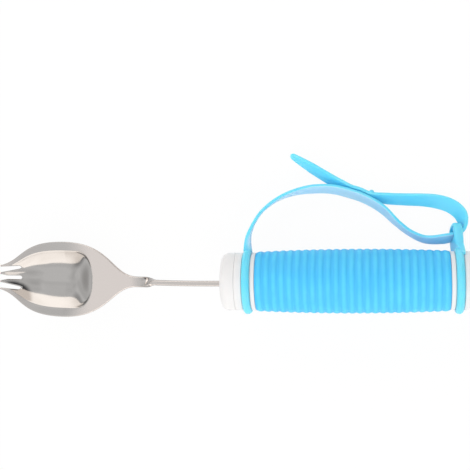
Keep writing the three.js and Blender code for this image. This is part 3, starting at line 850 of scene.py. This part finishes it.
# Stops of the strap's route in millimetres: x from a ring's middle, y from its outer radius, z, and the lean
# in degrees that tips the strap's upper edge to the left of its travel.
BAND_FROM_FRONT = (
    (0, -1.1, 0, 0),
    (0, 2.8, -0.4, 0),
    (0.5, 6.2, -1.1, 0),
    (2.6, 11.7, -2.9, -5),
    (6.2, 17, -5.2, -5),
    (12.2, 21.7, -7.3, 1),
    (19, 24.6, -8.5, 11),
    (28, 26.2, -9.4, 27),
    (37, 26, -9.8, 31),
    (44, 24.2, -9.9, 31),
)
BAND_TO_REAR = (
    (-39.6, 21.7, -9.9, 30),
    (-32, 17.1, -9.7, 28),
    (-25.3, 10.6, -9.2, 17),
    (-19.8, 6.3, -8.7, 16),
    (-13.4, 3.5, -8.1, 24),
)
LOOP_BACK = (
    (3.2, 9.3, -9.1, -10),
    (2.7, 11.9, -9.4, -40),
    (1.6, 14.6, -9.7, -60),
    (-0.8, 17, -9.9, -75),
    (-4.1, 18.8, -10.1, -75),
    (-8.7, 20.1, -10.4, -66),
    (-14.4, 20.8, -10.6, -53),
    (-21.4, 21.1, -10.8, -48),
    (-29.4, 21.6, -10.9, -43),
)
TAIL = (
    (-50.1, 27.9, -10.9, -42),
    (-55.1, 30.8, -10.9, -40),
    (-60.2, 34, -10.9, -37),
    (-65.7, 37.5, -10.9, -33),
    (-72.1, 41.6, -10.9, -30),
)
# Stops in the keeper's slot: x through the tab, the rise over the slot's start, and the lean
SLOT_STOPS = (
    (-5.2, 0.7, 36),
    (-1.5, 1.7, 28),
    (2.1, 3.6, 6),
)
STEPS_PER_STOP = 12
# Angle from the tab's middle to the end of its foot on the keeper's ring
TAB_FOOT = radians(52)
# Steps of the rounding at each face of the tab
TAB_STEPS = 7


class StrapShape:
    """Places of the two rings, the keeper's tab and the strap's route."""

    def __init__(self, strap, handle):
        self.strap = strap
        ring = strap.ring_setback + strap.ring_width / 2
        self.front_ring = -handle.length + ring
        self.rear_ring = -ring
        self.inner = handle.core_radius - strap.groove_depth + SLIP
        self.tab = (
            Matrix.Rotation(radians(-23), 4, "X")
            @ Matrix.Translation((self.rear_ring, strap.ring_radius, 0.0))
            @ Matrix.Rotation(radians(2), 4, "Z")
            @ Matrix.Rotation(radians(8), 4, "Y")
        )
        self.lay_step = strap.thickness + LAY_GAP
        slot = []
        for x, rise, lean in SLOT_STOPS:
            slot.append((self.tab @ Vector((x * MM, strap.slot_start + rise * MM, 0.0)), lean))
        front = self.stops(self.front_ring, BAND_FROM_FRONT)
        self.band = front + self.stops(self.rear_ring, BAND_TO_REAR) + slot
        lay = [self.lay(strap.stud_setback + extra * MM) for extra in (0, 4, 8)]
        loop = self.stops(self.rear_ring, LOOP_BACK)
        self.route = self.band + loop + lay + self.stops(self.rear_ring, TAIL)

    def stops(self, ring, table):
        """Stops of a table, measured from one ring."""
        radius = self.strap.ring_radius
        return [(Vector((ring + x * MM, radius + y * MM, z * MM)), lean) for x, y, z, lean in table]

    def band_frame(self, setback):
        """Frame of the band where it passes the given distance in front of the keeper."""
        frames = strap_frames(self.band)
        return min(frames, key=lambda one: abs(one["centre"].x - self.rear_ring + setback))

    def lay(self, setback):
        """Stop where the tail lies on the outer face of the band."""
        band = self.band_frame(setback)
        return band["centre"] + band["outer"] * self.lay_step, -band["lean"]


def strap_frames(route):
    """Frames along a smooth curve through the stops: centre, travel, upper edge and outer face."""
    points = [stop[0] for stop in route]
    leans = [stop[1] for stop in route]
    points = [2 * points[0] - points[1]] + points + [2 * points[-1] - points[-2]]
    centres = []
    tilts = []
    for i in range(len(route) - 1):
        a, b, c, d = points[i:i + 4]
        gaps = [sqrt((q - p).length) for p, q in ((a, b), (b, c), (c, d))]
        leave = (b - a) / gaps[0] - (c - a) / (gaps[0] + gaps[1]) + (c - b) / gaps[1]
        arrive = (c - b) / gaps[1] - (d - b) / (gaps[1] + gaps[2]) + (d - c) / gaps[2]
        reach = gaps[1] / 3
        stretch = interpolate_bezier(b, b + leave * reach, c - arrive * reach, c, STEPS_PER_STOP + 1)
        shares = [k / STEPS_PER_STOP for k in range(STEPS_PER_STOP + 1)]
        tilt = [leans[i] + (leans[i + 1] - leans[i]) * share for share in shares]
        centres += stretch if i == 0 else stretch[1:]
        tilts += tilt if i == 0 else tilt[1:]
    frames = []
    for i, centre in enumerate(centres):
        travel = (centres[min(i + 1, len(centres) - 1)] - centres[max(i - 1, 0)]).normalized()
        left = Vector((-travel.y, travel.x, 0.0)).normalized()
        up = travel.cross(left)
        lean = radians(tilts[i])
        edge = up * cos(lean) + left * sin(lean)
        frames.append(
            {"centre": centre, "travel": travel, "edge": edge, "outer": edge.cross(travel), "lean": tilts[i]}
        )
    return frames


def band_mesh(shape):
    """The band from the front ring to the tip of the tail."""
    strap = shape.strap
    frames = strap_frames(shape.route)
    rest = 0.0
    loops = []
    last = frames[-1]["centre"]
    total = sum((b["centre"] - a["centre"]).length for a, b in zip(frames, frames[1:]))
    for one in reversed(frames):
        rest += (one["centre"] - last).length
        last = one["centre"]
        taper = min(1.0, 0.45 + 0.55 * sqrt(rest / strap.taper))
        tip = sqrt(1 - (1 - min(1.0, (rest + 0.05 * MM) / (1.2 * MM))) ** 2)
        flare = 1 + 1.3 * max(0.0, 1 - (total - rest) / strap.flare) ** 1.2
        half_width = strap.width / 2 * taper * (0.25 + 0.75 * tip)
        half_thick = strap.thickness / 2 * sqrt(taper) * (0.15 + 0.85 * tip) * flare
        radius = min(strap.rounding, 0.9 * half_thick, 0.9 * half_width)
        corners = [(-1, -1), (1, -1), (1, 1), (-1, 1)]
        section = rounded([(a * half_width, b * half_thick, radius) for a, b in corners], 4)
        loops.append([one["centre"] + one["edge"] * a + one["outer"] * b for a, b in section])
    return skin(bmesh.new(), loops)


def mark_inner_face_painted_light(band, shape):
    """Mark the face of the band that lies on the hand; the mark paints a paler tone there, painted light for
    the light that reaches it through the silicone in the handle's shade.
    """
    frames = strap_frames(shape.band)
    nearest = KDTree(len(frames))
    for i, one in enumerate(frames):
        nearest.insert(one["centre"], i)
    nearest.balance()
    # Share of painted light: the paler tone on the inner face.
    painted_light_marks = band.data.attributes.new("inner", "FLOAT", "POINT")
    clear_of_ring = shape.strap.ring_radius - 2 * MM
    for vert, mark in zip(band.data.vertices, painted_light_marks.data):
        one = frames[nearest.find(vert.co)[1]]
        depth = (one["centre"] - vert.co).dot(one["outer"]) / shape.strap.thickness
        mark.value = smooth(4 * depth - 0.9) * smooth((vert.co.y - clear_of_ring) / (5 * MM))


def ring_mesh(shape, centre):
    """A strap ring with rounded edges."""
    strap = shape.strap
    half = strap.ring_width / 2
    corners = [
        (centre - half, shape.inner, 0.3 * MM),
        (centre - half, strap.ring_radius, strap.ring_rounding),
        (centre + half, strap.ring_radius, strap.ring_rounding),
        (centre + half, shape.inner, 0.3 * MM),
    ]
    return turned(bmesh.new(), rounded(corners))


def stud_mesh(shape, radius, low, high, dome):
    """A round peg on the band's outer face between two heights, with a domed end."""
    band = shape.band_frame(shape.strap.stud_setback)
    corners = [(low, 0.0, 0.0), (low, radius, 0.1 * MM), (high, radius, dome), (high, 0.0, 0.0)]
    bm = turned(bmesh.new(), rounded(corners), 40)
    place = Matrix.Translation(band["centre"]) @ band["outer"].to_track_quat("X", "Z").to_matrix().to_4x4()
    bmesh.ops.transform(bm, matrix=place, verts=bm.verts)
    return bm


def on_ring(shape, radius, turn):
    """Sharp corner of the tab's outline on a circle round the ring's axis."""
    return (radius * cos(turn) - shape.strap.ring_radius, radius * sin(turn), 0.0)


def tab_layers(strap):
    """Layers through the tab as (place across it, inset of its outline), rounded at both faces."""
    flat = strap.tab_thickness / 2 - strap.tab_rounding
    turns = [pi / 2 * k / TAB_STEPS for k in range(TAB_STEPS + 1)]
    upper = [(flat + strap.tab_rounding * sin(turn), strap.tab_rounding * (1 - cos(turn))) for turn in turns]
    return [(-across, inset) for across, inset in reversed(upper)] + upper


def tab_mesh(shape):
    """The keeper's tab, rounded at its end and slimmer at the foot that lies in the ring."""
    strap = shape.strap
    width = strap.width + 2 * STRAP_SLIP + 2 * strap.tab_wall
    arch = shape.inner + strap.ring_rounding / 2
    outer_feet = [on_ring(shape, strap.ring_radius, turn) for turn in (-TAB_FOOT, TAB_FOOT)]
    inner_arch = [on_ring(shape, arch, TAB_FOOT * share) for share in (1, 0.5, 0, -0.5, -1)]
    corners = [
        outer_feet[0],
        (1.4 * MM, -width / 2, 4 * MM),
        (strap.tab_length, -width / 2, 0.42 * width),
        (strap.tab_length, width / 2, 0.42 * width),
        (1.4 * MM, width / 2, 4 * MM),
        outer_feet[1],
        *inner_arch,
    ]
    outline = rounded(corners, 10)
    slim = 0.4 * strap.ring_width / strap.tab_thickness
    loops = []
    for across, inset in tab_layers(strap):
        loop = []
        for i, point in enumerate(outline):
            along = (outline[(i + 1) % len(outline)] - outline[i - 1]).normalized()
            inward = Vector((-along.y, along.x)) * inset * smooth((point.x + 1 * MM) / (4 * MM))
            thick = slim + (1 - slim) * smooth((point.x + 5 * MM) / (9 * MM))
            loop.append((across * thick, *(point + inward)))
        loops.append(loop)
    bm = skin(bmesh.new(), loops)
    bmesh.ops.triangulate(bm, faces=bm.faces)
    bmesh.ops.transform(bm, matrix=shape.tab, verts=bm.verts)
    return bm


def slot_mesh(shape):
    """Block that cuts the keeper's slot."""
    strap = shape.strap
    low = strap.slot_start
    high = low + strap.slot_length
    across = strap.width / 2 + STRAP_SLIP
    corners = [(low, -across), (high, -across), (high, across), (low, across)]
    outline = rounded([(y, z, 0.6 * MM) for y, z in corners], 4)
    ends = (-strap.ring_width, strap.ring_width)
    bm = skin(bmesh.new(), [[(x, y, z) for y, z in outline] for x in ends])
    bmesh.ops.transform(bm, matrix=shape.tab, verts=bm.verts)
    return bm


class SPORK_OT_strap(bpy.types.Operator):
    """Build the silicone strap and its keeper"""

    bl_idname = "spork.strap"
    bl_label = "Strap and keeper"

    def execute(self, context):
        strap = context.scene.spork_strap
        shape = StrapShape(strap, context.scene.spork_handle)
        # Silicone, moulded in one clear blue piece: light glows through its thin edges under a satin skin,
        # and the face that lies on the hand is painted paler, a painted light for the light that reaches it
        # through the silicone in the handle's shade.
        silicone = moulded_material(
            "moulded_clear_blue_silicone", strap.silicone, linear("#B6DFF7"), 0.4, 0.6 * MM, 0.08, 1.41, 0.7,
            (2.4 * MM, 2.2 * MM, 2.6 * MM), painted_shading_mask="inner", mottle=0.3,
        )
        face = shape.lay_step + strap.thickness / 2
        band = new_object("silicone_strap", band_mesh(shape))
        hole = stud_mesh(shape, strap.stud_radius + SLIP, shape.lay_step / 2, face + 1 * MM, 0.1 * MM)
        combine(band, new_object("hole_cutter", hole), "DIFFERENCE")
        combine(band, new_object("front_ring", ring_mesh(shape, shape.front_ring)), "UNION")
        stud = stud_mesh(shape, strap.stud_radius, 0.0, face + strap.stud_height, 0.8 * MM)
        combine(band, new_object("stud", stud), "UNION")
        mark_inner_face_painted_light(band, shape)
        finish_piece(band, silicone, ["hand_strap"], "strap")

        keeper = new_object("strap_keeper", ring_mesh(shape, shape.rear_ring))
        combine(keeper, new_object("tab", tab_mesh(shape)), "UNION")
        combine(keeper, new_object("slot_cutter", slot_mesh(shape)), "DIFFERENCE")
        finish_piece(keeper, silicone, ["keeper_ring"], "strap")
        return {"FINISHED"}


# Studio


# Softboxes: place from the studio's middle, length and height, and share of the lamps' strength
SOFTBOXES = (
    ((-0.4, -1.03, 0.62), (2.2, 0.57), 1.0),
    ((-0.4, 1.03, 0.62), (2.2, 0.57), 1.0),
    ((0.47, -0.55, 1.0), (0.55, 0.5), 0.8),
)
STUDIO_MIDDLE = Vector((-0.11, 0.0, 0.0))
SENSOR_WIDTH = 36.0
CAMERA_TARGET = Vector((-107.83 * MM, 20.4 * MM, 0.0))
CAMERA_DISTANCE = 454 * MM
CAMERA_TIP = radians(7.3)
CAMERA_ROLL = radians(0.55)


def floor_material(studio):
    """White paper that is seen near white, straight or in metal, with a faint shadow."""
    material, tree = new_material("white_paper")
    path = add_node(tree, "LightPath").outputs
    rays = {0: path["Is Camera Ray"], 1: path["Is Glossy Ray"]}
    straight = add_node(tree, "Math", rays, "Value", operation="MAXIMUM")
    rays = {0: straight, 1: path["Is Transmission Ray"]}
    seen = add_node(tree, "Math", rays, "Value", operation="MAXIMUM")
    share = add_node(tree, "Math", {0: seen, 1: 0.95}, "Value", operation="MULTIPLY")
    paper = add_node(tree, "BsdfDiffuse", {"Color": opaque(studio.floor)}, "BSDF")
    white = add_node(tree, "Emission", {"Color": (1.0, 1.0, 1.0, 1.0), "Strength": 1.0}, "Emission")
    surface = add_node(tree, "MixShader", {0: share, 1: paper, 2: white}, "Shader")
    add_node(tree, "OutputMaterial", {"Surface": surface})
    return material


def light_room(studio):
    """A pale uneven room, greyer at table height, with dark upper corners."""
    world = bpy.data.worlds.new("studio_room")
    bpy.context.scene.world = world
    world.use_nodes = True
    tree = world.node_tree
    tree.nodes.clear()
    eased = {"out": "Result", "interpolation_type": "SMOOTHSTEP"}
    place = add_node(tree, "TexCoord", out="Generated")
    axes = add_node(tree, "SeparateXYZ", {"Vector": place}).outputs
    rise = {"Value": axes["Z"], "From Min": 0.0, "From Max": 0.45}
    height = add_node(tree, "MapRange", rise, **eased)
    walls = {"Factor": height, "A": opaque(studio.horizon), "B": opaque(studio.ceiling)}
    room = add_node(tree, "Mix", walls, "Result", data_type="RGBA")
    # Corners beyond the tines, on both sides
    aside = add_node(tree, "Math", {0: axes["Y"]}, "Value", operation="ABSOLUTE")
    turned_away = add_node(tree, "Math", {0: axes["X"], 1: aside}, "Value", operation="MULTIPLY")
    run = {"Value": turned_away, "From Min": -0.42, "From Max": -0.24}
    beyond = add_node(tree, "MapRange", run, **eased)
    # Corner behind the handle, on the strap's side
    forward = add_node(tree, "Math", {0: axes["X"], 1: 0.0}, "Value", operation="MAXIMUM")
    near_side = add_node(tree, "Math", {0: forward, 1: axes["Y"]}, "Value", operation="MULTIPLY")
    run = {"Value": near_side, "From Min": 0.16, "From Max": 0.06}
    behind = add_node(tree, "MapRange", run, **eased)
    upper = add_node(tree, "Math", {0: beyond, 1: behind}, "Value", operation="MULTIPLY")
    run = {"Value": axes["Z"], "From Min": 0.3, "From Max": 0.12}
    lower = add_node(tree, "MapRange", run, **eased)
    light = add_node(tree, "Math", {0: upper, 1: lower}, "Value", operation="MAXIMUM")
    ends = {"Factor": light, "A": opaque(studio.corner), "B": room}
    clean = add_node(tree, "Mix", ends, "Result", data_type="RGBA")
    clouds = add_node(tree, "TexNoise", {"Vector": place, "Scale": 2.2, "Detail": 1.0}, "Fac")
    spans = {"From Min": 0.35, "From Max": 0.65, "To Min": 0.76, "To Max": 1.0}
    uneven = add_node(tree, "MapRange", {"Value": clouds, **spans}, "Result")
    patches = {"Factor": 1.0, "A": clean, "B": uneven}
    whole = add_node(tree, "Mix", patches, "Result", data_type="RGBA", blend_type="MULTIPLY")
    around = add_node(tree, "Background", {"Color": whole, "Strength": 1.2}, "Background")
    add_node(tree, "OutputWorld", {"Surface": around})


class SPORK_OT_studio(bpy.types.Operator):
    """Set up the floor, the light and the camera"""

    bl_idname = "spork.studio"
    bl_label = "Studio"

    def execute(self, context):
        studio = context.scene.spork_studio
        context.scene.view_settings.view_transform = "Standard"
        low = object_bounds()[0][2]
        bm = bmesh.new()
        bmesh.ops.create_grid(bm, x_segments=4, y_segments=4, size=studio.floor_size / 2)
        floor = new_object("floor", bm)
        floor.location = (-0.1, 0.0, low)
        floor.data.materials.append(floor_material(studio))
        floor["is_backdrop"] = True
        light_room(studio)
        for place, size, share in SOFTBOXES:
            self.hang_softbox(context, Vector(place), size, share)
        self.place_camera(context)
        return {"FINISHED"}

    def hang_softbox(self, context, place, size, share):
        """Hang a softbox round the object, facing it, with its length level."""
        studio = context.scene.spork_studio
        lamp = bpy.data.lights.new("softbox", "AREA")
        lamp.shape = "RECTANGLE"
        lamp.size, lamp.size_y = size
        lamp.color = studio.lamp
        lamp.energy = share * studio.lamp_strength * pi * lamp.size * lamp.size_y
        softbox = bpy.data.objects.new("softbox", lamp)
        softbox.location = STUDIO_MIDDLE + place
        facing = Vector((max(0.0, place.x), place.y, place.z))
        softbox.rotation_euler = facing.to_track_quat("Z", "Y").to_euler()
        context.collection.objects.link(softbox)

    def place_camera(self, context):
        """Camera over the table, tipped a little towards the handle's end."""
        camera = bpy.data.cameras.new("camera")
        camera.lens = context.scene.spork_studio.lens
        camera.sensor_width = SENSOR_WIDTH
        camera.clip_start = 10 * MM
        back = Vector((sin(CAMERA_TIP), 0.0, cos(CAMERA_TIP)))
        right = Vector((cos(CAMERA_TIP), 0.0, -sin(CAMERA_TIP)))
        up = Vector((0.0, 1.0, 0.0))
        across = right * cos(CAMERA_ROLL) - up * sin(CAMERA_ROLL)
        upward = right * sin(CAMERA_ROLL) + up * cos(CAMERA_ROLL)
        place = CAMERA_TARGET + back * CAMERA_DISTANCE
        rig = bpy.data.objects.new("camera", camera)
        rig.matrix_world = Matrix.Translation(place) @ Matrix((across, upward, back)).transposed().to_4x4()
        context.collection.objects.link(rig)
        context.scene.camera = rig


OPERATORS = (SPORK_OT_steel, SPORK_OT_handle, SPORK_OT_grip, SPORK_OT_strap, SPORK_OT_studio)
GROUPS = {
    "spork_steel": SporkSteel,
    "spork_handle": SporkHandle,
    "spork_grip": SporkGrip,
    "spork_strap": SporkStrap,
    "spork_studio": SporkStudio,
}


class SPORK_PT_sidebar(bpy.types.Panel):
    """Lists the pieces of the spork"""

    bl_idname = "SPORK_PT_sidebar"
    bl_label = "Adaptive spork"
    bl_space_type = "VIEW_3D"
    bl_region_type = "UI"
    bl_category = "Spork"

    def draw(self, context):
        for operator in OPERATORS:
            self.layout.operator(operator.bl_idname)
        for name, group in GROUPS.items():
            settings = getattr(context.scene, name)
            box = self.layout.box()
            for field in group.__annotations__:
                box.prop(settings, field)


def register():
    for group in GROUPS.values():
        bpy.utils.register_class(group)
    for name, group in GROUPS.items():
        setattr(bpy.types.Scene, name, PointerProperty(type=group))
    for operator in OPERATORS:
        bpy.utils.register_class(operator)
    bpy.utils.register_class(SPORK_PT_sidebar)


def unregister():
    bpy.utils.unregister_class(SPORK_PT_sidebar)
    for operator in OPERATORS:
        bpy.utils.unregister_class(operator)
    for name, group in GROUPS.items():
        delattr(bpy.types.Scene, name)
        bpy.utils.unregister_class(group)


def main():
    register()
    bpy.ops.spork.steel()
    bpy.ops.spork.handle()
    bpy.ops.spork.grip()
    bpy.ops.spork.strap()
    bpy.ops.spork.studio()


if __name__ == "__main__":
    main()
